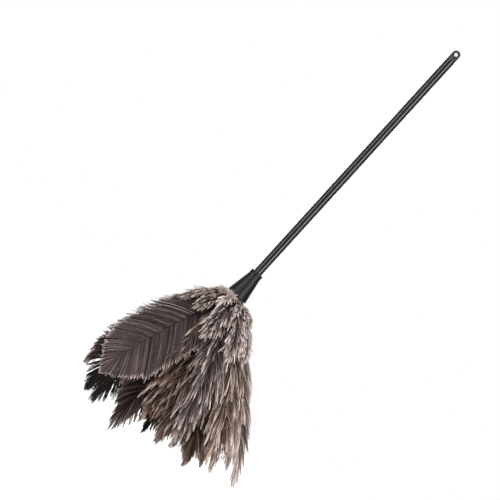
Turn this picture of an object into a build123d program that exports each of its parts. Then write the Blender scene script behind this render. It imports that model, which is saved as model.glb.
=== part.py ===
"""Feather duster: a slim hollow handle, a conical ferrule and five tiers of ostrich plumes.

Frame: millimetres, +Z along the handle, away from the feathers. The origin is on the handle's
axis, halfway along the bare tube. The feather head hangs below and droops towards +X.
Every plume is one piece: a quill seated in the ferrule and a vane that starts past its flare.
"""

import os
from collections import namedtuple
from math import acos, atan, atan2, cos, degrees, pi, radians, sin, tan

from build123d import *

# Handle tube and its end plug
tube_diameter = 6.4
tube_wall = 1.0
tube_seat_diameter = 5.8  # the end in the ferrule is turned down, so the collar meets a shoulder
bare_length = 200.0  # from the ferrule's collar to the tube's far end
plug_fit = 0.05  # radial clearance of the plug's spigot in the tube
spigot_length = 8.0
plug_diameter = 6.0
plug_neck = 3.0  # round part of the plug's head
hang_hole_diameter = 2.6
tongue_thickness = 3.2
tongue_rise = 3.0  # from the neck to the hole's centre

# Ferrule
ferrule_length = 22.0
ferrule_wall = 1.0
collar_diameter = 9.6
collar_height = 3.5
collar_fit = 0.05  # radial clearance round the tube's seat
edge_round = 0.3

# Quills and what binds them
quill_diameter = 1.0
thread_diameter = 0.5
thread_pitch = 1.2 * thread_diameter
seat_gap = 0.1  # least radial clearance between what is packed in the ferrule
core_ring = 1.2  # radius of the core quills' ring, in quill diameters
long_ring = 3.1  # and of the long quills' ring
tube_tail = 9.0  # height of the tube's lower end above the mouth
outer_turns = 6
outer_winding_height = 6.4  # first turn, above the mouth
inner_turns = 6
inner_winding_height = 2.2
cuff_seat_height = 4.5  # how far up the ferrule each tier's quills reach
cover_seat_height = 11.0
middle_seat_height = 8.0
long_seat_height = 5.0
core_seat_height = 14.0
glue_gap = 1.0  # between the cover quills' ends and the glue above them
core_glue_length = 6.0

# Feather head
head_droop = 8.0  # degrees that the long plumes sag towards +X; the short ones stay up
vane_root = 1.1 * quill_diameter  # radius of the vane's narrow end
vane_inset = 0.6
quill_lap = 4.0  # how far the quill runs into the vane
side_gap = 1.0  # between the vanes of one tier
arc_spare = 3.0  # degrees of band beyond the vane's tip

# Heights and radii that follow
bore_radius = tube_diameter / 2 - tube_wall
collar_z = -bare_length / 2
mouth_z = collar_z - ferrule_length
quill_radius = quill_diameter / 2
thread_room = thread_diameter + 2 * seat_gap

# Radius of each ring of quills at the mouth, packed outwards; the ferrule's mouth holds them all
core_seat = core_ring * quill_diameter
long_seat = long_ring * quill_diameter
middle_seat = long_seat + quill_diameter + seat_gap
cover_seat = middle_seat + quill_diameter + thread_room
mouth_radius = cover_seat + quill_radius + thread_room
mouth_diameter = 2 * (mouth_radius + ferrule_wall)
cone_height = ferrule_length - collar_height
cone_slope = (mouth_diameter - collar_diameter) / 2 / cone_height

# lean is the angle from the head's own axis; flare is the bend's radius below the mouth
Tier = namedtuple(
    "Tier", "name count first seat seat_height slope reach lean droop flare curl width thickness"
)
cuff = Tier(
    "cuff_plume", 12, first=15.0, seat=cover_seat, seat_height=cuff_seat_height, slope=cone_slope,
    reach=21.0, lean=60.0, droop=0.0, flare=4.0, curl=22.0, width=10.0, thickness=1.0,
)
cover = Tier(
    "cover_plume", 12, first=0.0, seat=cover_seat, seat_height=cover_seat_height, slope=cone_slope,
    reach=48.0, lean=49.0, droop=0.0, flare=7.0, curl=14.0, width=15.0, thickness=1.0,
)
outer = Tier(
    "outer_plume", 12, first=15.0, seat=middle_seat, seat_height=middle_seat_height, slope=cone_slope,
    reach=117.0, lean=34.0, droop=head_droop, flare=14.0, curl=15.0, width=30.0, thickness=1.4,
)
long = Tier(
    "long_plume", 9, first=0.0, seat=long_seat, seat_height=long_seat_height, slope=cone_slope,
    reach=122.0, lean=21.0, droop=head_droop, flare=24.0, curl=8.0, width=24.0, thickness=1.4,
)
core = Tier(
    "core_plume", 3, first=60.0, seat=core_seat, seat_height=core_seat_height, slope=0.0,
    reach=112.0, lean=12.0, droop=head_droop, flare=40.0, curl=3.0, width=22.0, thickness=1.4,
)
tiers = [cuff, cover, outer, long, core]


def finish(builder, name):
    """Labels a finished piece and writes its STEP file."""
    builder.part.label = name
    export_step(builder.part, f"parts/{name}.step")


def make_tube():
    """Plain tube with a turned-down seat for the ferrule."""
    tail_z = mouth_z + tube_tail
    with BuildPart() as tube:
        with BuildSketch(Plane.XY.offset(collar_z)):
            Circle(tube_diameter / 2)
        extrude(amount=bare_length)
        with BuildSketch(Plane.XY.offset(tail_z)):
            Circle(tube_seat_diameter / 2)
        extrude(amount=collar_z - tail_z)
        with BuildSketch(Plane.XY.offset(tail_z)):
            Circle(bore_radius)
        extrude(amount=bare_length / 2 - tail_z, mode=Mode.SUBTRACT)
    return tube


def make_end_plug():
    """A spigot in the tube's end, a round neck and a flat tongue with a hanging hole."""
    head_z = bare_length / 2
    hole_z = head_z + plug_neck + tongue_rise
    with BuildPart() as plug:
        with BuildSketch(Plane.XY.offset(head_z)):
            Circle(plug_diameter / 2)
        extrude(amount=plug_neck)
        with BuildSketch(Plane.XY.offset(head_z)):
            Circle(bore_radius - plug_fit)
        extrude(amount=-spigot_length)
        chamfer(plug.edges().sort_by(Axis.Z)[0], length=edge_round)
        with BuildSketch(Plane.XZ.offset(-tongue_thickness / 2)):
            with Locations((0, hole_z)):
                Circle(plug_diameter / 2)
            with Locations((0, hole_z - tongue_rise / 2)):
                Rectangle(plug_diameter, tongue_rise)
            with Locations((0, hole_z)):
                Circle(hang_hole_diameter / 2, mode=Mode.SUBTRACT)
        extrude(amount=tongue_thickness)
        # The tongue stays inside the neck's outline, so a ring slides over it onto the tube.
        with BuildSketch(Plane.XY.offset(head_z - spigot_length)):
            Circle(plug_diameter / 2)
        extrude(amount=spigot_length + plug_neck + tongue_rise + plug_diameter, mode=Mode.INTERSECT)
    return plug


def make_ferrule():
    """Cone with a short collar that fits the tube's seat, hollow below the collar."""
    shoulder_z = mouth_z + cone_height
    with BuildPart() as ferrule:
        with BuildSketch(Plane.XZ):
            with BuildLine():
                Polyline(
                    (mouth_diameter / 2, mouth_z),
                    (collar_diameter / 2, shoulder_z),
                    (collar_diameter / 2, collar_z),
                    (tube_seat_diameter / 2 + collar_fit, collar_z),
                    (tube_seat_diameter / 2 + collar_fit, shoulder_z),
                    (mouth_radius - cone_height * cone_slope, shoulder_z),
                    (mouth_radius, mouth_z),
                    close=True,
                )
            make_face()
        revolve(axis=Axis.Z)
        rims = ferrule.edges().filter_by(GeomType.CIRCLE)
        fillet(rims.group_by(Axis.Z)[-1].sort_by(SortBy.RADIUS)[-1], radius=edge_round)
        fillet(rims.group_by(Axis.Z)[0], radius=edge_round)
    return ferrule


def make_winding(seat, turns, first_height):
    """One thread wound round a ring of quills, following their taper up the ferrule."""
    outside = seat + quill_radius - first_height * cone_slope
    with BuildPart() as winding:
        with BuildLine() as thread:
            Helix(
                pitch=thread_pitch,
                height=turns * thread_pitch,
                radius=outside + seat_gap + thread_diameter / 2,
                center=(0, 0, mouth_z + first_height),
                cone_angle=-degrees(atan(cone_slope)),
            )
        with BuildSketch(Plane(origin=thread.line @ 0, z_dir=thread.line % 0)):
            Circle(thread_diameter / 2)
        sweep(is_frenet=True)
    return winding


def make_glue_bead():
    """Hot glue that fills the ferrule from above the quills to the shoulder."""
    low, high = cover_seat_height + glue_gap, cone_height
    with BuildPart() as bead:
        with BuildSketch(Plane.XZ):
            with BuildLine():
                Polyline(
                    (tube_seat_diameter / 2, mouth_z + low),
                    (mouth_radius - low * cone_slope, mouth_z + low),
                    (mouth_radius - high * cone_slope, mouth_z + high),
                    (tube_seat_diameter / 2, mouth_z + high),
                    close=True,
                )
            make_face()
        revolve(axis=Axis.Z)
    return bead


def make_core_glue():
    """Plug of glue in the tube's bore that holds the core plumes."""
    with BuildPart() as plug:
        with BuildSketch(Plane.XY.offset(mouth_z + core_seat_height)):
            Circle(bore_radius)
        extrude(amount=core_glue_length)
    return plug


def aim(tier, index):
    """Azimuth and lean from straight down, in degrees, of one plume of a tier round the drooping axis."""
    around = radians(tier.first + 360 * index / tier.count)
    lean, droop = radians(tier.lean), radians(tier.droop)
    outwards, across, down = sin(lean) * cos(around), sin(lean) * sin(around), cos(lean)
    x = outwards * cos(droop) + down * sin(droop)
    drop = down * cos(droop) - outwards * sin(droop)
    return degrees(atan2(across, x)), degrees(acos(drop))


def heading(angle):
    """Unit step in a plume's own plane, at an angle outwards from straight down."""
    return (sin(radians(angle)), -cos(radians(angle)))


def outward_normal(angle):
    """Unit step square to a heading, on its outer side."""
    return Vector(cos(radians(angle)), sin(radians(angle)))


def make_plume(tier, index):
    """A quill that flares out of the mouth in an arc, and a curved vane that widens to a round tip."""
    azimuth, lean = aim(tier, index)
    turn = radians(azimuth)
    side = Plane(
        origin=(0, 0, mouth_z), x_dir=(cos(turn), sin(turn), 0), z_dir=(sin(turn), -cos(turn), 0)
    )
    stem_angle = degrees(atan(tier.slope))
    out_angle, end_angle = lean + tier.curl / 2, lean - tier.curl / 2

    # Corners of the path in the plume's plane: the quill's top, the mouth and the flare's end
    seat = (tier.seat, 0)
    top = (tier.seat - tier.seat_height * tier.slope, tier.seat_height)
    flare_turn = out_angle - stem_angle
    flare_length = tier.flare * radians(flare_turn)
    root = Vector(*seat) + (outward_normal(stem_angle) - outward_normal(out_angle)) * tier.flare

    # The vane's middle line is one arc that bends back down
    vane_length = tier.reach - flare_length
    vane_turn = out_angle - end_angle
    vane_radius = vane_length / radians(vane_turn)
    centre = root - outward_normal(out_angle) * vane_radius
    chord = 2 * vane_radius * sin(radians(vane_turn) / 2)

    # A tier's vanes share the ring that their tips make
    ring_radius = tier.seat + (tier.reach - tier.width / 2) * sin(radians(tier.lean))
    half_room = ring_radius * tan(pi / tier.count) - side_gap / 2
    tip_radius = min(tier.width / 2, half_room)

    with BuildPart() as vane:
        with BuildSketch(side):
            with BuildLine():
                inner, outer = vane_radius - tier.thickness / 2, vane_radius + tier.thickness / 2
                start, sweep_angle = end_angle - arc_spare, vane_turn + arc_spare
                low = CenterArc(centre, inner, start, sweep_angle)
                high = CenterArc(centre, outer, start, sweep_angle)
                Line(low @ 0, high @ 0)
                Line(low @ 1, high @ 1)
            make_face()
        extrude(amount=tip_radius + side_gap, both=True)
        ahead = side.x_dir * sin(radians(lean)) - side.y_dir * cos(radians(lean))
        face_on = Plane(
            origin=side.from_local_coords(root), x_dir=side.z_dir, z_dir=side.z_dir.cross(ahead)
        )
        with BuildSketch(face_on):
            with Locations((0, vane_inset + vane_root)):
                Circle(vane_root)
            with Locations((0, chord - tip_radius)):
                Circle(tip_radius)
            make_hull()
        extrude(amount=chord / 2, both=True, mode=Mode.INTERSECT)

    with BuildPart() as plume:
        with BuildLine(side) as spine:
            Line(top, seat)
            JernArc(seat, heading(stem_angle), tier.flare, flare_turn)
            JernArc(tuple(root), heading(out_angle), vane_radius, -degrees(quill_lap / vane_radius))
        with BuildSketch(Plane(origin=spine.line @ 0, z_dir=spine.line % 0)):
            Circle(quill_radius)
        sweep()
        add(vane.part)
    return plume


def main():
    os.makedirs("parts", exist_ok=True)
    finish(make_tube(), "handle_tube")
    finish(make_end_plug(), "end_plug")
    finish(make_ferrule(), "ferrule")
    finish(make_winding(cover_seat, outer_turns, outer_winding_height), "outer_winding")
    finish(make_winding(middle_seat, inner_turns, inner_winding_height), "inner_winding")
    finish(make_glue_bead(), "glue_bead")
    finish(make_core_glue(), "core_glue")
    for tier in tiers:
        for index in range(tier.count):
            finish(make_plume(tier, index), f"{tier.name}_{index + 1:02d}")


main()
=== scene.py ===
"""Looks of the feather duster: ostrich plumes, moulded ferrule and extruded tube, round the CAD frame."""

from collections import namedtuple

import bpy
import numpy as np
from mathutils import Matrix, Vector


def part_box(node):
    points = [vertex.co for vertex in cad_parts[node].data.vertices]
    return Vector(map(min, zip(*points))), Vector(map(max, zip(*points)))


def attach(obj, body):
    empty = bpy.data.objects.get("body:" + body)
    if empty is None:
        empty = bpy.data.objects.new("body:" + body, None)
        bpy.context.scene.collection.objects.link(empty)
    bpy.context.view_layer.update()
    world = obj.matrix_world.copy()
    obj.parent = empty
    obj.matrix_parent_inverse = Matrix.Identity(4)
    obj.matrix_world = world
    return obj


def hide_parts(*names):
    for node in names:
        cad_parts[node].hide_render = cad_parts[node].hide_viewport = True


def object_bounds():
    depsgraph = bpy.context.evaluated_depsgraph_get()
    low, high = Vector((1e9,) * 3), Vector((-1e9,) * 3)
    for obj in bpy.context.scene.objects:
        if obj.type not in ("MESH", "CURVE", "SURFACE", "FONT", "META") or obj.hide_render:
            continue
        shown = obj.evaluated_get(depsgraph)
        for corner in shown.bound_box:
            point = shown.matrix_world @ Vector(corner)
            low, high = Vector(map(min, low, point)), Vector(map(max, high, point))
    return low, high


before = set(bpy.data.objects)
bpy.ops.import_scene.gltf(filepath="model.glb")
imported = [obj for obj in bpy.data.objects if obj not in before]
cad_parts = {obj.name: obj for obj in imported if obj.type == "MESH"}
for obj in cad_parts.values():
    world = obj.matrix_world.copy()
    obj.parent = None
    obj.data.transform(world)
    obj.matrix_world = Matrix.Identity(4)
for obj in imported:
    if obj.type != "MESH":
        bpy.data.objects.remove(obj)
cad_box = [list(corner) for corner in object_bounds()]

MM = 0.001
UP = np.array([0.0, 0.0, 1.0])

# The duster is held at a slant, so its hanging barbs fall towards +X and down the handle's axis.
HOLD_SLANT = np.radians(47.7)
FALL = np.array([np.cos(HOLD_SLANT), 0.0, -np.sin(HOLD_SLANT)])


# ---------------------------------------------------------------- picture: camera, light, floor

PICTURE_RIGHT = np.array([np.sin(HOLD_SLANT), 0.0, np.cos(HOLD_SLANT)])
PICTURE_UP = -FALL
TO_CAMERA = np.array([0.0, -1.0, 0.0])
PICTURE_WIDTH = 350 * MM  # what the picture's width covers at the object
LENS = 100.0
SENSOR = 36.0

mouth_low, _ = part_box("ferrule")
MOUTH = np.array([0.0, 0.0, mouth_low.z])
MOUTH_LEFT, MOUTH_BELOW = 9.4 * MM, 32.2 * MM  # how far the mouth stands from the picture's centre
PICTURE_CENTRE = MOUTH + MOUTH_LEFT * PICTURE_RIGHT + MOUTH_BELOW * PICTURE_UP


def turned(x_axis, y_axis, z_axis, place):
    """Matrix of an object whose own axes point along three unit vectors."""
    matrix = np.eye(4)
    matrix[:3, 0], matrix[:3, 1], matrix[:3, 2], matrix[:3, 3] = x_axis, y_axis, z_axis, place
    return Matrix(matrix.tolist())


def place_camera():
    """A long lens square to the handle, rolled so that the handle slants up to the right."""
    data = bpy.data.cameras.new("camera")
    data.lens = LENS
    data.sensor_width = SENSOR
    camera = bpy.data.objects.new("camera", data)
    bpy.context.scene.collection.objects.link(camera)
    distance = PICTURE_WIDTH * LENS / SENSOR
    place = PICTURE_CENTRE + TO_CAMERA * distance
    camera.matrix_world = turned(PICTURE_RIGHT, PICTURE_UP, TO_CAMERA, place)
    bpy.context.scene.camera = camera


def area_light(name, width, height, power, axes, place):
    """Rectangular light, width by height in mm. axes are its own right and up, and the way back from it."""
    data = bpy.data.lights.new(name, "AREA")
    data.shape = "RECTANGLE"
    data.size, data.size_y, data.energy = width * MM, height * MM, power
    light = bpy.data.objects.new(name, data)
    bpy.context.scene.collection.objects.link(light)
    light.matrix_world = turned(*axes, place)


def softbox(name, around, along, distance, width, height, power):
    """Upright light aimed at the handle's axis, its long side along the handle; lengths in mm.

    around is its azimuth about the handle in degrees, from the camera's side towards +X, and along
    its height above the handle's middle.
    """
    turn = np.radians(around)
    back = np.array([np.sin(turn), -np.cos(turn), 0.0])
    place = (distance * back + along * UP) * MM
    area_light(name, width, height, power, (np.cross(UP, back), UP, back), place)


def overhead(name, right, up, front, width, height, power):
    """Light placed in the picture's own directions, in mm from its centre, and aimed at that centre."""
    offset = (right * PICTURE_RIGHT + up * PICTURE_UP + front * TO_CAMERA) * MM
    back = offset / np.linalg.norm(offset)
    across = np.cross(TO_CAMERA, back)
    across /= np.linalg.norm(across)
    axes = (across, np.cross(back, across), back)
    area_light(name, width, height, power, axes, PICTURE_CENTRE + offset)


def light_studio():
    """White surround for the eye, and for light a dim sky, brightest in front, with four area lights."""
    world = bpy.data.worlds.new("studio")
    bpy.context.scene.world = world
    world.use_nodes = True
    tree = world.node_tree
    tree.nodes.clear()
    seen = add(tree, "ShaderNodeBackground", {"Color": linear("#ffffff"), "Strength": 1.0})
    way = add(tree, "ShaderNodeSeparateXYZ", {0: add(tree, "ShaderNodeTexCoord").outputs["Generated"]})
    front = add(
        tree,
        "ShaderNodeMapRange",
        {"Value": way.outputs["Y"], "From Min": 0.3, "From Max": -0.8, "To Min": 0.26, "To Max": 0.34},
    )
    fill = add(tree, "ShaderNodeBackground", {"Color": linear("#ffffff"), "Strength": front.outputs[0]})
    rays = add(tree, "ShaderNodeLightPath")
    mixed = add(
        tree,
        "ShaderNodeMixShader",
        {0: rays.outputs["Is Camera Ray"], 1: fill.outputs[0], 2: seen.outputs[0]},
    )
    add(tree, "ShaderNodeOutputWorld", {"Surface": mixed.outputs[0]})
    softbox("right_strip", around=40, along=-20, distance=800, width=330, height=1100, power=8.0)
    softbox("left_strip", around=-50, along=-20, distance=800, width=150, height=1100, power=4.2)
    softbox("rear", around=180, along=0, distance=900, width=700, height=900, power=11.0)
    overhead("top", right=200, up=700, front=420, width=500, height=500, power=8.0)
    bpy.context.scene.view_settings.view_transform = "Standard"


def lay_floor():
    """White floor below the head. It looks as bright as the surround, but throws less light back up."""
    low = cad_box[0][2] - 35 * MM  # clear of the lowest barbs
    half = 1500 * MM
    mesh = bpy.data.meshes.new("floor")
    corners = [(-half, -half, low), (half, -half, low), (half, half, low), (-half, half, low)]
    mesh.from_pydata(corners, [], [(0, 1, 2, 3)])
    floor = bpy.data.objects.new("floor", mesh)
    bpy.context.scene.collection.objects.link(floor)
    material, tree, paper = new_material("white_seamless_paper")
    rays = add(tree, "ShaderNodeLightPath")
    glow = add(
        tree,
        "ShaderNodeMapRange",
        {"Value": rays.outputs["Is Camera Ray"], "To Min": 0.15, "To Max": 1.0},
    )
    tree.links.new(glow.outputs[0], paper.inputs["Emission Strength"])
    paper.inputs["Emission Color"].default_value = linear("#ffffff")
    paper.inputs["Base Color"].default_value = linear("#e8e8e8")
    paper.inputs["Roughness"].default_value = 0.9
    mesh.materials.append(material)


# ---------------------------------------------------------------- materials


def linear(hex_colour):
    """Linear colour with full alpha from an sRGB hex value."""
    srgb = np.array([int(hex_colour[i : i + 2], 16) for i in (1, 3, 5)]) / 255
    rgb = np.where(srgb <= 0.04045, srgb / 12.92, ((srgb + 0.055) / 1.055) ** 2.4)
    return (*rgb.tolist(), 1.0)


def add(tree, kind, inputs=None, **settings):
    """Adds a node. inputs maps its sockets to values, or to the outputs they are linked to."""
    made = tree.nodes.new(kind)
    for name, value in settings.items():
        setattr(made, name, value)
    for socket, value in (inputs or {}).items():
        if isinstance(value, bpy.types.NodeSocket):
            tree.links.new(value, made.inputs[socket])
        else:
            made.inputs[socket].default_value = value
    return made


def new_material(name):
    """Empty node material with a shader wired to its output."""
    material = bpy.data.materials.new(name)
    material.use_nodes = True
    tree = material.node_tree
    tree.nodes.clear()
    shader = add(tree, "ShaderNodeBsdfPrincipled")
    add(tree, "ShaderNodeOutputMaterial", {"Surface": shader.outputs[0]})
    return material, tree, shader


def set_ramp(ramp, stops):
    """Fills a colour ramp from (position, hex colour) pairs."""
    elements = ramp.color_ramp.elements
    while len(elements) < len(stops):
        elements.new(1.0)
    for element, (position, colour) in zip(elements, stops):
        element.position = position
        element.color = linear(colour)


# Where most of a noise texture's values lie, for stretching them to a range
NOISE_SPAN = {"From Min": 0.3, "From Max": 0.7}


def ostrich_barb(grey, brown):
    """Undyed ostrich barbs: keratin threads under a dull fuzz of barbules, matt with a faint sheen.

    The tone attribute runs from the dark of the vane (0) to its bleached tips (1) along two ramps, and
    the warm one from the grey ramp to the brown. Barbules stand 0.3 mm apart, and their fuzz is drawn
    0.9 mm apart so that it shows.
    """
    material, tree, shader = new_material("ostrich_barb")
    tone = add(tree, "ShaderNodeAttribute", attribute_name="tone").outputs["Fac"]
    warm = add(tree, "ShaderNodeAttribute", attribute_name="warm").outputs["Fac"]
    place = add(tree, "ShaderNodeTexCoord").outputs["Object"]
    fuzz = add(tree, "ShaderNodeTexNoise", {"Vector": place, "Scale": 1 / (0.9 * MM), "Detail": 2.0})
    speckle = add(
        tree,
        "ShaderNodeMapRange",
        {"Value": fuzz.outputs["Fac"], **NOISE_SPAN, "To Min": -0.06, "To Max": 0.06},
    )
    depth = add(tree, "ShaderNodeMath", {0: tone, 1: speckle.outputs[0]}, operation="ADD").outputs[0]
    grey_ramp = add(tree, "ShaderNodeValToRGB", {"Fac": depth})
    set_ramp(grey_ramp, grey)
    brown_ramp = add(tree, "ShaderNodeValToRGB", {"Fac": depth})
    set_ramp(brown_ramp, brown)
    mixed = add(
        tree,
        "ShaderNodeMix",
        {0: warm, 6: grey_ramp.outputs[0], 7: brown_ramp.outputs[0]},
        data_type="RGBA",
    )
    tree.links.new(mixed.outputs[2], shader.inputs["Base Color"])
    dullness = add(
        tree,
        "ShaderNodeMapRange",
        {"Value": fuzz.outputs["Fac"], **NOISE_SPAN, "To Min": 0.62, "To Max": 0.85},
    )
    tree.links.new(dullness.outputs[0], shader.inputs["Roughness"])
    shader.inputs["IOR"].default_value = 1.54
    shader.inputs["Specular IOR Level"].default_value = 0.12
    shader.inputs["Sheen Weight"].default_value = 0.08
    shader.inputs["Sheen Roughness"].default_value = 0.5
    return material


def quill_keratin():
    """Quill: smooth horny keratin, cream at its root and near black along the vane, with a soft gloss."""
    material, tree, shader = new_material("quill_keratin")
    tone = add(tree, "ShaderNodeAttribute", attribute_name="tone").outputs["Fac"]
    place = add(tree, "ShaderNodeTexCoord").outputs["Object"]
    grain = add(tree, "ShaderNodeTexNoise", {"Vector": place, "Scale": 1 / (1.5 * MM), "Detail": 3.0})
    ramp = add(tree, "ShaderNodeValToRGB", {"Fac": tone})
    set_ramp(ramp, [(0.0, "#120c0a"), (0.45, "#3a2a22"), (0.75, "#7d6c5a"), (1.0, "#c9bda8")])
    tree.links.new(ramp.outputs[0], shader.inputs["Base Color"])
    gloss = add(
        tree,
        "ShaderNodeMapRange",
        {"Value": grain.outputs["Fac"], **NOISE_SPAN, "To Min": 0.45, "To Max": 0.60},
    )
    tree.links.new(gloss.outputs[0], shader.inputs["Roughness"])
    bump = add(
        tree,
        "ShaderNodeBump",
        {"Height": grain.outputs["Fac"], "Strength": 0.2, "Distance": 0.05 * MM},
    )
    tree.links.new(bump.outputs[0], shader.inputs["Normal"])
    shader.inputs["IOR"].default_value = 1.54
    shader.inputs["Specular IOR Level"].default_value = 0.2
    return material


def plastic(name, colour, worn, roughness, shine, grain_mm, stretch, relief_mm):
    """Black plastic: a grain of grain_mm, drawn out along the handle by stretch and relief_mm deep.

    Handling has polished and dulled it in patches about 14 mm across, from colour to worn.
    """
    material, tree, shader = new_material(name)
    place = add(tree, "ShaderNodeTexCoord").outputs["Object"]
    scaled = add(tree, "ShaderNodeMapping", {"Vector": place, "Scale": (1.0, 1.0, 1.0 / stretch)})
    grain = add(
        tree,
        "ShaderNodeTexNoise",
        {"Vector": scaled.outputs[0], "Scale": 1 / (grain_mm * MM), "Detail": 3.0},
    )
    handling = add(tree, "ShaderNodeTexNoise", {"Vector": place, "Scale": 1 / (14 * MM), "Detail": 4.0})
    tint = add(tree, "ShaderNodeValToRGB", {"Fac": handling.outputs["Fac"]})
    set_ramp(tint, [(0.35, colour), (0.75, worn)])
    tree.links.new(tint.outputs[0], shader.inputs["Base Color"])
    low, high = roughness
    even = add(
        tree,
        "ShaderNodeMapRange",
        {"Value": grain.outputs["Fac"], **NOISE_SPAN, "To Min": low, "To Max": high},
    )
    rubbed = add(
        tree,
        "ShaderNodeMapRange",
        {"Value": handling.outputs["Fac"], **NOISE_SPAN, "To Min": -0.03, "To Max": 0.05},
    )
    gloss = add(
        tree, "ShaderNodeMath", {0: even.outputs[0], 1: rubbed.outputs[0]}, operation="ADD"
    )
    tree.links.new(gloss.outputs[0], shader.inputs["Roughness"])
    bump = add(
        tree,
        "ShaderNodeBump",
        {"Height": grain.outputs["Fac"], "Strength": 0.5, "Distance": relief_mm * MM},
    )
    tree.links.new(bump.outputs[0], shader.inputs["Normal"])
    shader.inputs["IOR"].default_value = 1.53
    shader.inputs["Specular IOR Level"].default_value = shine
    return material


def cotton_thread():
    """Waxed black cotton: a dull twisted thread, its strands seen as slanted bands 0.35 mm apart."""
    material, tree, shader = new_material("waxed_cotton_thread")
    place = add(tree, "ShaderNodeTexCoord").outputs["Object"]
    bands = add(
        tree,
        "ShaderNodeTexWave",
        {"Vector": place, "Scale": 1 / (0.35 * MM) / 20, "Distortion": 1.5},
        bands_direction="DIAGONAL",
    )
    ramp = add(tree, "ShaderNodeValToRGB", {"Fac": bands.outputs["Fac"]})
    set_ramp(ramp, [(0.0, "#1d1a18"), (1.0, "#37312d")])
    tree.links.new(ramp.outputs[0], shader.inputs["Base Color"])
    shader.inputs["Roughness"].default_value = 0.7
    return material


def melt_glue():
    """Hot-melt glue: waxy amber polymer, cloudy inside with a soft shine."""
    material, tree, shader = new_material("hot_melt_glue")
    place = add(tree, "ShaderNodeTexCoord").outputs["Object"]
    cloud = add(tree, "ShaderNodeTexNoise", {"Vector": place, "Scale": 1 / (2.5 * MM), "Detail": 2.0})
    ramp = add(tree, "ShaderNodeValToRGB", {"Fac": cloud.outputs["Fac"]})
    set_ramp(ramp, [(0.3, "#c9b27c"), (0.7, "#e6d9b4")])
    tree.links.new(ramp.outputs[0], shader.inputs["Base Color"])
    soft = add(
        tree,
        "ShaderNodeMapRange",
        {"Value": cloud.outputs["Fac"], **NOISE_SPAN, "To Min": 0.3, "To Max": 0.45},
    )
    tree.links.new(soft.outputs[0], shader.inputs["Roughness"])
    return material


# ---------------------------------------------------------------- plumes

# A plume's middle line in its own plane, from the mouth to the vane's tip: how far out it reaches, its
# height and its slope at each distance along it. out points away from the handle's axis in that plane,
# and side is the plane's normal.
Line = namedtuple("Line", "out side distance reach height slope root_distance")

# What a feather looks like. Lengths are in mm and angles in degrees.
Plumage = namedtuple(
    "Plumage",
    "slot "
    # clumps of barbs on each side, barbs in a clump, and straight steps along a barb
    "clumps strands steps "
    # a barb's length, and the share of it that is left at the vane's end
    "barb_length end_length "
    # angle from the quill at a barb's root and at its tip, the share by which a clump may stay
    # nearer to the quill, and the share of the vane past which barbs fan out round its end
    "root_angle tip_angle scatter fan_from "
    # breadth of a barb; how far barbs rise from the vane, hang, and stray out of it
    "thread lift sag fluff "
    # how far a clump's barbs draw together, the share by which a clump may fall short, and how far
    # the short ones stand out
    "clumping uneven layer "
    # slivers on a barb, and their length
    "barbules barbule_length "
    # barbs begin at this share before the vane's root and end at this share of the line
    "first last "
    # tone, the painted light that makes the +X side paler, its variation, and how dark barbs are at the
    # quill: their darker roots with painted shade
    "tone paler mottle shade "
    # tone added at a barb's tip, and the share of the barb where that begins; grey 0 to brown 1
    "tip_tone bleach_from warm "
    # how far the tip is carried sideways and outwards, how far the vane is turned about the quill,
    # and the random parts of the first and the last
    "bend raised roll wander loose "
    # added to the angles at the vane's root
    "opened",
)

# Short shingled feathers over the roots of the long ones
COVERING = Plumage(
    slot="cover_feather", clumps=100, strands=5, steps=5, barb_length=15, end_length=0.7,
    root_angle=50, tip_angle=22, scatter=0.8, fan_from=0.85, thread=0.42, lift=0.08, sag=0.25,
    fluff=0.17, clumping=0.88, uneven=0.70, layer=0.20, barbules=12, barbule_length=0.9,
    first=0.30, last=0.80, tone=0.34, paler=0.06, mottle=0.08, shade=0.28, tip_tone=0.85,
    bleach_from=0.55, warm=0.10, bend=0, raised=0, roll=0, wander=1.5, loose=10, opened=12,
)
# Downy tufts all round the ferrule's mouth
CUFF = COVERING._replace(
    slot="cuff_feather", clumps=60, strands=4, barb_length=8, fluff=0.2, first=1.0, last=0.86,
    tone=0.42, warm=0.12, opened=60,
)
# Long broad plumes that make the head's outline
OUTER = COVERING._replace(
    slot="outer_feather", clumps=116, steps=7, barb_length=38, end_length=0.52, tip_angle=17,
    fan_from=0.80, thread=0.44, lift=0.06, sag=0.40, fluff=0.15, uneven=0.55, layer=0.14,
    barbules=16, barbule_length=1.0, first=0.10, last=0.82, tone=0.23, paler=0.26, mottle=0.10,
    shade=0.24, tip_tone=0.65, bleach_from=0.62, warm=0.28, wander=2.5,
)
# The broad feather on the front of the head: one smooth vane with a pale edge and a dark quill
FRONT = OUTER._replace(
    clumps=100, strands=6, barb_length=32, end_length=0.34, tip_angle=42, scatter=0.0, thread=0.37,
    lift=0.02, sag=0.16, fluff=0.016, clumping=0.86, uneven=0.05, layer=0.0, barbules=10,
    barbule_length=0.7, last=0.85, tone=0.195, paler=0.0, mottle=0.085, shade=0.10, tip_tone=0.95,
    bleach_from=0.90, warm=0.0, bend=7, raised=13, roll=42, wander=0, loose=0,
)
# Darker plumes under the outer ones, which make the ragged lower edge
LONG = OUTER._replace(
    slot="long_feather", clumps=120, thread=0.46, fluff=0.22, sag=0.25, barb_length=31,
    root_angle=56, tip_angle=36, scatter=0.15, fan_from=0.76, end_length=0.62, clumping=0.7,
    uneven=0.22, tone=0.15, paler=0.10, shade=0.12, tip_tone=0.45, bleach_from=0.78, warm=0.65,
    last=0.90,
)
# Dark fluffy plumes that fill the middle of the head; their dark tone is painted shade of the head's inside
CORE = LONG._replace(
    slot="core_feather", thread=0.8, barb_length=30, fluff=0.4, tone=0.10, tip_tone=0.2,
    warm=0.55, last=0.93,
)
TIERS = {
    "cuff_plume": CUFF, "cover_plume": COVERING, "outer_plume": OUTER, "long_plume": LONG,
    "core_plume": CORE,
}
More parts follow.
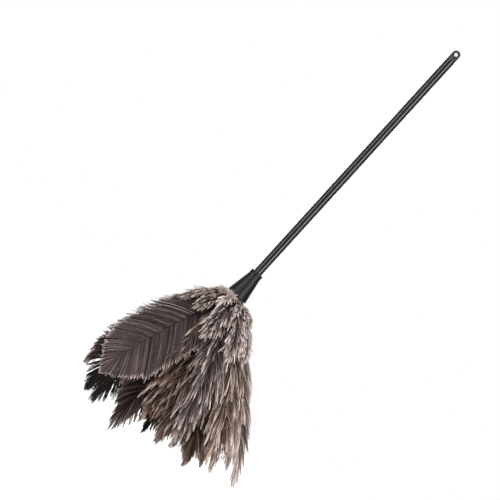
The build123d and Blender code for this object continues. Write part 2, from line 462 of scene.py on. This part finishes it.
# Black tufts at the head's end, with their barbs spread wide
BLACK_FAN = LONG._replace(
    root_angle=75, tip_angle=60, clumping=0.8, uneven=0.12, end_length=0.65, tone=-0.08, shade=0.02,
    tip_tone=-0.04, mottle=0.03, warm=0.1, paler=0,
)
# White down beside the broad feather's root
WHITE_DOWN = CUFF._replace(
    tone=1.0, shade=0.0, tip_tone=0.25, warm=0.0, barb_length=10, uneven=0.5, layer=3.0, opened=40
)
# Brown plumes whose tips bleach to tan
TAN_TIPPED = OUTER._replace(warm=0.95, tone=0.34)
# Barbs that lie close to the quill and hang from it, at the head's lowest side as it is held
HANGING = OUTER._replace(
    clumps=150, barb_length=28, root_angle=22, tip_angle=24, scatter=0.3, end_length=0.9, tone=0.27,
    clumping=0.75, uneven=0.35, sag=0.7,
)

# Feathers that differ from the rest of their tier, numbered round the handle
SINGLES = {
    "cuff_plume_06": CUFF._replace(raised=-4),
    "cuff_plume_07": CUFF._replace(raised=-5),
    "cuff_plume_08": WHITE_DOWN._replace(barb_length=7, last=0.55, raised=-2),
    "cuff_plume_09": WHITE_DOWN,
    "cover_plume_01": COVERING._replace(raised=-3, paler=0.1),
    "cover_plume_06": COVERING._replace(raised=-4),
    "cover_plume_07": COVERING._replace(raised=-7),
    "cover_plume_08": COVERING._replace(raised=-4),
    "cover_plume_09": COVERING._replace(barb_length=12, tone=0.27, last=0.66),
    "cover_plume_10": COVERING._replace(barb_length=18, last=0.88),
    "cover_plume_11": COVERING._replace(barb_length=18, last=0.92),
    "outer_plume_01": HANGING._replace(raised=-8, roll=-45, last=0.92),
    "outer_plume_02": OUTER._replace(last=0.93),
    "outer_plume_03": OUTER._replace(warm=0.6, last=0.90),
    "outer_plume_04": OUTER._replace(warm=0.6, last=0.92),
    "outer_plume_06": TAN_TIPPED._replace(barb_length=30, uneven=0.4, raised=3, roll=60),
    "outer_plume_07": TAN_TIPPED._replace(bend=-3, raised=-4, roll=30, uneven=0.35, last=0.86),
    "outer_plume_08": FRONT,
    "outer_plume_09": OUTER._replace(bend=4, raised=-15, tone=0.16, warm=0.5, last=0.92),
    "outer_plume_10": OUTER._replace(last=0.90),
    "outer_plume_11": OUTER._replace(roll=-30, tip_angle=14, uneven=0.4, last=0.94),
    "outer_plume_12": HANGING._replace(raised=1, roll=-45, last=0.93),
    "long_plume_01": LONG._replace(roll=-70, paler=0.2, last=0.86),
    "long_plume_02": LONG._replace(last=0.87),
    "long_plume_03": LONG._replace(bend=-14),
    "long_plume_04": LONG._replace(bend=-10, tone=0.10, last=0.91),
    "long_plume_05": BLACK_FAN._replace(roll=85, last=0.92),
    "long_plume_06": BLACK_FAN._replace(clumps=150, raised=11, roll=55, last=0.84),
    "long_plume_07": LONG._replace(tone=0.10, warm=0.4, last=0.92),
    "long_plume_08": LONG._replace(last=0.84),
    "long_plume_09": LONG._replace(roll=-50, last=0.87),
    "core_plume_01": CORE._replace(bend=8, raised=-6, roll=53, last=0.97),
    "core_plume_02": CORE._replace(roll=90),
    "core_plume_03": CORE._replace(roll=-53, last=0.88),
}

FLARE_POINTS = 25  # on the quill's arc, from the mouth to the vane's root
VANE_POINTS = 120
QUILL_CLEAR = 0.75 * MM  # a quill's corners are nearer to the plume's plane than this

# How barbs differ from their neighbours: degrees, and shares of their length
ROOT_SPREAD, TIP_SPREAD = 3.0, 4.0
LENGTH_SPREAD = 0.05
LONG_BARB_ODDS, LONG_BARB = 0.012, 1.25
CROWDING = 1.35  # power by which barbs crowd towards the quill's tip
# Barb's breadth at its tip, as a share of that at its root, and the power by which it narrows
TIP_BREADTH, NARROWING = 0.12, 0.4
BARBULE_FOOT = 0.13 * MM  # half the base of a sliver
QUILL_SIDES, QUILL_STATIONS = 7, 46
QUILL_RADIUS, QUILL_END_RADIUS = 0.50 * MM, 0.06 * MM
QUILL_BAND = 0.03  # share of the UV map that the quill takes, below the barbs' rows


def middle_line(name):
    """Middle line of a CAD plume, read from its solid.

    The plume's plane holds the handle's axis and the solid's centroid. A circle fitted by least
    squares to the corners that lie off the quill is the vane's line. The quill meets it in one arc
    from the mouth, whose radius is its chord over twice the sine of half its turn.
    """
    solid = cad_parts[name].data
    corners = np.empty(len(solid.vertices) * 3)
    solid.vertices.foreach_get("co", corners)
    corners = corners.reshape(-1, 3)
    solid.calc_loop_triangles()
    triangles = np.empty(len(solid.loop_triangles) * 3, int)
    solid.loop_triangles.foreach_get("vertices", triangles)
    a, b, c = corners[triangles.reshape(-1, 3)].transpose(1, 0, 2)
    volumes = np.einsum("ij,ij->i", a, np.cross(b, c))
    centroid = ((a + b + c) * volumes[:, None]).sum(0) / (4 * volumes.sum())

    out = np.array([centroid[0], centroid[1], 0.0])
    out /= np.linalg.norm(out)
    side = np.cross(UP, out)
    flat = np.stack([corners @ out, corners[:, 2]], 1)
    across = np.abs(corners @ side)

    vane = flat[across > QUILL_CLEAR]
    middle = vane.mean(0)
    x, y = (vane - middle).T
    solution = np.linalg.lstsq(np.stack([2 * x, 2 * y, np.ones(len(x))], 1), x * x + y * y, rcond=None)
    centre = solution[0][:2]
    radius = np.sqrt(solution[0][2] + centre @ centre)
    centre = centre + middle
    slopes = np.arctan2(vane[:, 1] - centre[1], vane[:, 0] - centre[0])
    root_slope, tip_slope = slopes.max(), slopes.min()

    # The quill's upper end, and the place where it passes the ferrule's mouth
    top = flat[np.abs(flat[:, 1] - flat[:, 1].max()) < 0.3 * MM].mean(0)
    seat = flat[np.abs(flat[:, 1] - MOUTH[2]) < 0.2 * MM].mean(0)
    stem_slope = np.arctan2(seat[0] - top[0], top[1] - seat[1])

    def normal(slope):
        return np.stack([np.cos(slope), np.sin(slope)], -1)

    root = centre + radius * normal(root_slope)
    half_turn = (root_slope - stem_slope) / 2
    flare = np.linalg.norm(root - seat) / (2 * np.sin(half_turn))
    flare_slopes = np.linspace(stem_slope, root_slope, FLARE_POINTS)
    vane_slopes = np.linspace(root_slope, tip_slope, VANE_POINTS)[1:]
    flared = seat + flare * (normal(stem_slope) - normal(flare_slopes))
    points = np.concatenate([flared, centre + radius * normal(vane_slopes)])
    slope = np.concatenate([flare_slopes, vane_slopes])
    gaps = np.linalg.norm(np.diff(points, axis=0), axis=1)
    distance = np.concatenate([[0.0], np.cumsum(gaps)])
    return Line(out, side, distance, points[:, 0], points[:, 1], slope, distance[FLARE_POINTS - 1])


def along_line(line, distance, lie):
    """Points of the line at some distances, with unit vectors ahead, outwards and to the side.

    lie holds how far the plume is carried sideways and outwards, which eases in over 0.7 of its
    length, and the angle by which its vane is rolled, which grows evenly over half its length.
    """
    bend, raised, roll = lie
    share = distance / line.distance[-1]
    slope = np.interp(distance, line.distance, line.slope)[..., None]
    reach = np.interp(distance, line.distance, line.reach)[..., None]
    height = np.interp(distance, line.distance, line.height)[..., None]
    carried = (bend * line.side + raised * line.out) * smooth(share, 0.0, 0.7)[..., None]
    place = reach * line.out + height * UP + carried
    ahead = np.sin(slope) * line.out - np.cos(slope) * UP
    outward = np.cos(slope) * line.out + np.sin(slope) * UP
    turn = (roll * np.minimum(2 * share, 1.0))[..., None]
    facing = np.cos(turn) * outward + np.sin(turn) * line.side
    beside = np.cos(turn) * line.side - np.sin(turn) * outward
    return place, ahead, facing, beside


def unit(vectors):
    """Vectors of length 1 along the given ones."""
    return vectors / np.maximum(np.linalg.norm(vectors, axis=-1, keepdims=True), 1e-12)


def smooth(value, low, high):
    """0 below low, 1 above high, and the cubic 3t^2 - 2t^3 between them."""
    t = np.clip((value - low) / (high - low), 0.0, 1.0)
    return t * t * (3 - 2 * t)


def barb_paths(line, look, rng, lie):
    """Middle lines of a feather's barbs, in an array of sides, clumps, strands and steps.

    A barb's direction is the cosine of its angle ahead plus the sine sideways, and the angle turns
    evenly along it. An outward part lifts it by 1 - 2q off the vane and strays as the root of q,
    and gravity pulls it by q. The unit directions add up step by step, and each clump's barbs draw
    together as q^2. Their roots stand closer towards the quill's tip, by the power CROWDING. stray is
    how far each barb stands out of the vane.
    """
    shape = (2, look.clumps, look.strands)
    clump = np.arange(look.clumps)[None, :, None] + rng.uniform(-0.3, 0.3, (2, look.clumps, 1))
    share = np.clip((clump + 0.5 + rng.uniform(-0.5, 0.5, shape)) / look.clumps, 0.0, 1.0)
    share = 1 - (1 - share) ** CROWDING
    start = line.root_distance * (1 - look.first)
    finish = line.distance[-1] * look.last
    place, ahead, facing, beside = along_line(line, start + share * (finish - start), lie)

    fan = 1 - np.clip((share - look.fan_from) / (1 - look.fan_from), 0.0, 1.0)
    fan = fan * (1 - look.scatter * rng.uniform(0, 1, (2, look.clumps, 1)))
    opened = look.opened * (1 - smooth(share, 0.0, 0.5))
    root_angle = np.radians(look.root_angle + opened + rng.normal(0, ROOT_SPREAD, shape)) * fan
    tip_angle = np.radians(look.tip_angle + opened + rng.normal(0, TIP_SPREAD, shape)) * fan
    # Whole clumps differ too, but less on a smooth vane
    tip_angle += np.radians(rng.normal(0, TIP_SPREAD, (2, look.clumps, 1))) * min(1.0, look.fluff * 10)
    near_end = 0.5 * (1 + look.end_length)
    grown = np.interp(share, [0, 0.25, 0.6, 0.8, 1], [0.7, 0.95, 1.0, near_end, look.end_length])
    shortfall = look.uneven * rng.uniform(0, 1, (2, look.clumps, 1))
    length = look.barb_length * MM * grown * (1 - shortfall) * rng.normal(1.0, LENGTH_SPREAD, shape)
    length *= np.where(rng.uniform(size=shape) < LONG_BARB_ODDS, LONG_BARB, 1.0)
    stray = rng.normal(0, 0.7, shape) + rng.normal(0, 0.7, (2, look.clumps, 1))

    q = np.linspace(0, 1, look.steps + 1)
    middle = (q[1:] + q[:-1]) / 2
    angle = root_angle[..., None] + (tip_angle - root_angle)[..., None] * middle
    hand = np.array([1.0, -1.0])[:, None, None, None]
    outwards = (
        4 * look.lift * (1 - 2 * middle)
        + (look.layer * shortfall)[..., None]
        + look.fluff * 1.5 * stray[..., None] * np.sqrt(middle)
    )
    direction = unit(
        np.cos(angle)[..., None] * ahead[..., None, :]
        + (hand * np.sin(angle))[..., None] * beside[..., None, :]
        + outwards[..., None] * facing[..., None, :]
    )
    pull = (look.sag * rng.uniform(0.6, 1.4, shape))[..., None] * middle
    direction = unit(direction + pull[..., None] * FALL)
    steps = direction * (length / look.steps)[..., None, None]
    run = np.concatenate([np.zeros((*shape, 1, 3)), np.cumsum(steps, axis=-2)], axis=-2)
    paths = place[..., None, :] + run
    drawn = (look.clumping * q * q)[:, None]
    paths += (paths.mean(2, keepdims=True) - paths) * drawn
    return paths, facing, q, stray


def barb_ribbons(paths, facing, look, rng, q):
    """Two edges of each barb's ribbon: its path, plus and minus a half width across its direction.

    The ribbon lies in the vane, turned about its own line by a random twist, and narrows as what is
    left of its length to the power NARROWING.
    """
    direction = unit(np.gradient(paths, axis=-2))
    normal = np.broadcast_to(facing[..., None, :], paths.shape)
    across = unit(np.cross(normal, direction))
    upright = np.cross(direction, across)
    twist = rng.uniform(-0.9, 0.9, paths.shape[:3])[..., None, None]
    across = np.cos(twist) * across + np.sin(twist) * upright
    left = 1 - q * 0.999  # never quite nothing
    half = look.thread * MM / 2 * (TIP_BREADTH + (1 - TIP_BREADTH) * left**NARROWING)
    return direction, across, paths - across * half[:, None], paths + across * half[:, None]


def barbule_slivers(paths, direction, across, look, rng):
    """Barbules as slivers: a short base on the barb, and a tip ahead of it and to one side.

    The tip is the base plus a reach, shorter towards the barb's end, times the unit sum of the cosine
    of its lean along the barb, the sine across it and a stray part. The sides alternate.
    """
    count, steps = look.barbules, look.steps
    at = (np.arange(count) + rng.uniform(0.0, 1.0, (*paths.shape[:3], count))) / count * 0.96 + 0.03
    lower = np.minimum((at * steps).astype(int), steps - 1)
    part = (at * steps - lower)[..., None]
    index = lower[..., None]

    def pick(values, shift=0):
        return np.take_along_axis(values, index + shift, axis=-2)

    base = pick(paths) * (1 - part) + pick(paths, 1) * part
    along, beside = pick(direction), pick(across)
    sign = np.where(np.arange(count) % 2 == 0, 1.0, -1.0)[:, None]
    lean = np.radians(rng.uniform(24, 48, (*at.shape, 1)))
    stray = rng.normal(0, 0.28, (*at.shape, 1)) * np.cross(along, beside)
    shorter = 1.05 - 0.45 * at[..., None]
    reach = look.barbule_length * MM * shorter * rng.uniform(0.6, 1.2, (*at.shape, 1))
    tip = base + reach * unit(np.cos(lean) * along + sign * np.sin(lean) * beside + stray)
    root = along * BARBULE_FOOT
    return at, base - root, base + root, tip


def quill_tube(line, look, lie):
    """Round quill along the middle line, seven-sided, tapering from 1 mm to a hair.

    Its ring at each station is the cosine of an angle times the side vector plus its sine times the
    outward one, times the radius there. It runs on a little past the last barb.
    """
    stations = np.linspace(0, line.distance[-1] * (look.last + 0.03), QUILL_STATIONS)
    place, _, facing, beside = along_line(line, stations, lie)
    share = stations / stations[-1]
    radius = QUILL_RADIUS * (1 - share) ** 0.8 + QUILL_END_RADIUS
    angle = np.linspace(0, 2 * np.pi, QUILL_SIDES, endpoint=False)
    ring = np.cos(angle)[:, None] * beside[:, None] + np.sin(angle)[:, None] * facing[:, None]
    return place[:, None] + radius[:, None, None] * ring, share


def grid_faces(rows, columns, wrap):
    """Quads of a grid of rows by columns, as corner numbers; wrap joins the last column to the first."""
    numbers = np.arange(rows * columns).reshape(rows, columns)
    ahead = np.roll(numbers, -1, axis=1) if wrap else numbers[:, 1:]
    here = numbers if wrap else numbers[:, :-1]
    return np.stack([here[:-1], ahead[:-1], ahead[1:], here[1:]], -1).reshape(-1, 4)


def fill_mesh(name, corners, quads, triangles, uv, attributes, materials, quill_quads):
    """Puts whole arrays into a new mesh: quads, the quill's first, then triangles.

    uv and attributes hold a value for each corner. The quill's quads take the second material.
    """
    mesh = bpy.data.meshes.new(name)
    mesh.vertices.add(len(corners))
    mesh.vertices.foreach_set("co", corners.astype(np.float32).ravel())
    loops = np.concatenate([quads.ravel(), triangles.ravel()]).astype(np.int32)
    sizes = np.concatenate([np.full(len(quads), 4), np.full(len(triangles), 3)])
    starts = np.concatenate([[0], np.cumsum(sizes)[:-1]]).astype(np.int32)
    mesh.loops.add(len(loops))
    mesh.loops.foreach_set("vertex_index", loops)
    mesh.polygons.add(len(sizes))
    mesh.polygons.foreach_set("loop_start", starts)
    slots = np.zeros(len(sizes), np.int32)
    slots[:quill_quads] = 1
    mesh.polygons.foreach_set("material_index", slots)
    mesh.update(calc_edges=True)
    mesh.uv_layers.new(name="OFBake").data.foreach_set("uv", uv[loops].astype(np.float32).ravel())
    for key, values in attributes.items():
        mesh.attributes.new(key, "FLOAT", "POINT").data.foreach_set("value", values.astype(np.float32))
    mesh.shade_smooth()
    for material in materials:
        mesh.materials.append(material)
    made = bpy.data.objects.new(name, mesh)
    bpy.context.scene.collection.objects.link(made)
    return made


def barb_tones(line, look, rng, stray):
    """Each barb's warmth, and a function that gives its tone at shares of its length.

    The tone is the look's own plus painted light on the +X side, a random part for the feather, the clump
    and the barb, and painted shade that darkens barbs lying under the vane and pales those standing out of
    it;
    less a darkening near the quill, the barbs' darker roots with painted shade, that fades to 0.8 of the
    length; plus a bleached tip.
    """
    shape = stray.shape
    own = rng.normal(0, 0.03)
    # Painted light: plumes on the +X side, which takes more light, are made paler
    own += look.paler * line.out[0]
    # Painted shade: through stray, barbs lying under the vane are darker and those standing out of it paler
    mottle = own + look.mottle * (0.8 * rng.normal(0, 1, (2, look.clumps, 1)) + 0.8 * stray)
    mottle = mottle + rng.normal(0, 0.09, shape)
    bleached = look.tip_tone * rng.uniform(0.4, 1.3, shape)
    warm = np.clip(look.warm + rng.normal(0, 0.18) + rng.normal(0, 0.10, shape), 0, 1)

    def tone_at(share):
        # Darker near the quill: the barbs' darker roots, with painted shade where they lie under other
        # barbs and feathers
        shaded = look.shade * (1 - smooth(share, 0.1, 0.8))
        tipped = bleached[..., None] * smooth(share, look.bleach_from, 1.0)
        return look.tone + mottle[..., None] - shaded + tipped

    return warm, tone_at


def feather_faces(look, barbs, shaft_shape):
    """Corner numbers of the quill's quads, the ribbons' quads and the slivers' triangles.

    Corners are counted in the same order: the quill's rings, then two at each station of a barb, then
    three for each barbule.
    """
    ribbon_start = shaft_shape[0] * shaft_shape[1]
    ribbon_size = 2 * (look.steps + 1)
    sliver_start = ribbon_start + barbs * ribbon_size
    strip = grid_faces(look.steps + 1, 2, False)
    ribbons = (strip[None] + ribbon_size * np.arange(barbs)[:, None, None]).reshape(-1, 4)
    slivers = np.arange(barbs * look.barbules * 3).reshape(-1, 3)
    return grid_faces(*shaft_shape, True), ribbons + ribbon_start, slivers + sliver_start


def make_feather(node, look, number, barb, quill):
    """One plume in place of its plain solid: a quill, ribbons for its barbs and slivers for barbules.

    Its UV map is a row for each barb, with u the share of its length, above a band for the quill.
    """
    rng = np.random.default_rng(number)
    line = middle_line(node)
    bend = look.bend + rng.normal(0, 1.0) * look.wander
    roll = look.roll + rng.normal(0, 1.0) * look.loose
    lie = (bend * MM, look.raised * MM, np.radians(roll))
    paths, facing, q, stray = barb_paths(line, look, rng, lie)
    direction, across, left, right = barb_ribbons(paths, facing, look, rng, q)
    at, foot, heel, tip = barbule_slivers(paths, direction, across, look, rng)
    shaft, shaft_share = quill_tube(line, look, lie)
    warm, tone_at = barb_tones(line, look, rng, stray)

    shape = stray.shape
    count = stray.size
    row = (np.arange(count).reshape(shape) + 0.5) / count * (1 - QUILL_BAND) + QUILL_BAND
    half_row = 0.3 / count
    ribbon_u = np.broadcast_to(q[:, None], (*shape, look.steps + 1, 2))
    ribbon_v = row[..., None, None] + half_row * np.array([-1.0, 1.0])
    sliver_u = np.clip(at[..., None] + np.array([-0.01, 0.01, 0.01]), 0, 1)
    sliver_v = row[..., None, None] + half_row * np.array([-1.0, -1.0, 1.0])
    shaft_u = np.broadcast_to(shaft_share[:, None], shaft.shape[:2])
    shaft_v = np.broadcast_to(np.linspace(0.002, 0.02, QUILL_SIDES), shaft.shape[:2])

    def joined(on_shaft, on_ribbons, on_slivers):
        """One array with a value for each corner, in the order that feather_faces counts them."""
        ribbons = np.broadcast_to(on_ribbons, ribbon_u.shape)
        slivers = np.broadcast_to(on_slivers, sliver_u.shape)
        return np.concatenate([on_shaft.ravel(), ribbons.ravel(), slivers.ravel()])

    uv = np.stack([joined(shaft_u, ribbon_u, sliver_u), joined(shaft_v, ribbon_v, sliver_v)], 1)
    shaft_tone = 1.0 - smooth(shaft_u, 0.0, 0.08)
    tone = joined(shaft_tone, tone_at(q)[..., None], tone_at(at)[..., None])
    attributes = {
        "tone": np.clip(tone, 0, 1),
        "warm": joined(np.zeros_like(shaft_u), warm[..., None, None], warm[..., None, None]),
    }
    ribbon_corners = np.stack([left, right], -2)
    sliver_corners = np.stack([foot, heel, tip], -2)
    corners = np.concatenate(
        [shaft.reshape(-1, 3), ribbon_corners.reshape(-1, 3), sliver_corners.reshape(-1, 3)]
    )
    shaft_quads, ribbon_quads, triangles = feather_faces(look, count, shaft.shape[:2])
    quads = np.concatenate([shaft_quads, ribbon_quads])
    name = node.replace("plume", "feather")
    feather = fill_mesh(
        name, corners, quads, triangles, uv, attributes, [barb, quill], len(shaft_quads)
    )
    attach(feather, "root")
    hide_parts(node)
    return feather


def paint(node, material):
    """Gives a CAD piece its material."""
    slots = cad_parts[node].data.materials
    slots.clear()
    slots.append(material)


# ---------------------------------------------------------------- the duster

place_camera()
light_studio()
lay_floor()

# Extruded ABS tube: black, satin-glossy, with fine draw lines along its length
tube_abs = plastic(
    "extruded_black_abs", "#0b0b0c", "#131314", roughness=(0.16, 0.19), shine=0.5, grain_mm=0.8,
    stretch=40.0, relief_mm=0.0005,
)
# Moulded ABS cone: black, with the fine spark-eroded grain of its mould
ferrule_abs = plastic(
    "moulded_black_abs", "#060608", "#0d0d10", roughness=(0.34, 0.44), shine=0.26, grain_mm=0.5,
    stretch=1.0, relief_mm=0.012,
)
# Moulded polypropylene plug: black and a little waxy
plug_polypropylene = plastic(
    "moulded_black_polypropylene", "#101012", "#1b1b1d", roughness=(0.38, 0.50), shine=0.4,
    grain_mm=0.6, stretch=1.0, relief_mm=0.02,
)
thread = cotton_thread()
glue = melt_glue()
for node, material in {
    "handle_tube": tube_abs,
    "ferrule": ferrule_abs,
    "end_plug": plug_polypropylene,
    "outer_winding": thread,
    "inner_winding": thread,
    "glue_bead": glue,
    "core_glue": glue,
}.items():
    paint(node, material)

GREY = [(0.0, "#140d0b"), (0.3, "#4d4140"), (0.55, "#7d6f6c"), (0.8, "#b5a5a1"), (1.0, "#e0d3ce")]
BROWN = [(0.0, "#140b08"), (0.3, "#4e3a30"), (0.55, "#806757"), (0.8, "#b79f8f"), (1.0, "#e2d2c5")]
barb = ostrich_barb(GREY, BROWN)
quill = quill_keratin()

plume_nodes = sorted(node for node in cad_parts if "plume" in node)
for number, node in enumerate(plume_nodes):
    make_feather(node, SINGLES.get(node, TIERS[node[:-3]]), number, barb, quill)
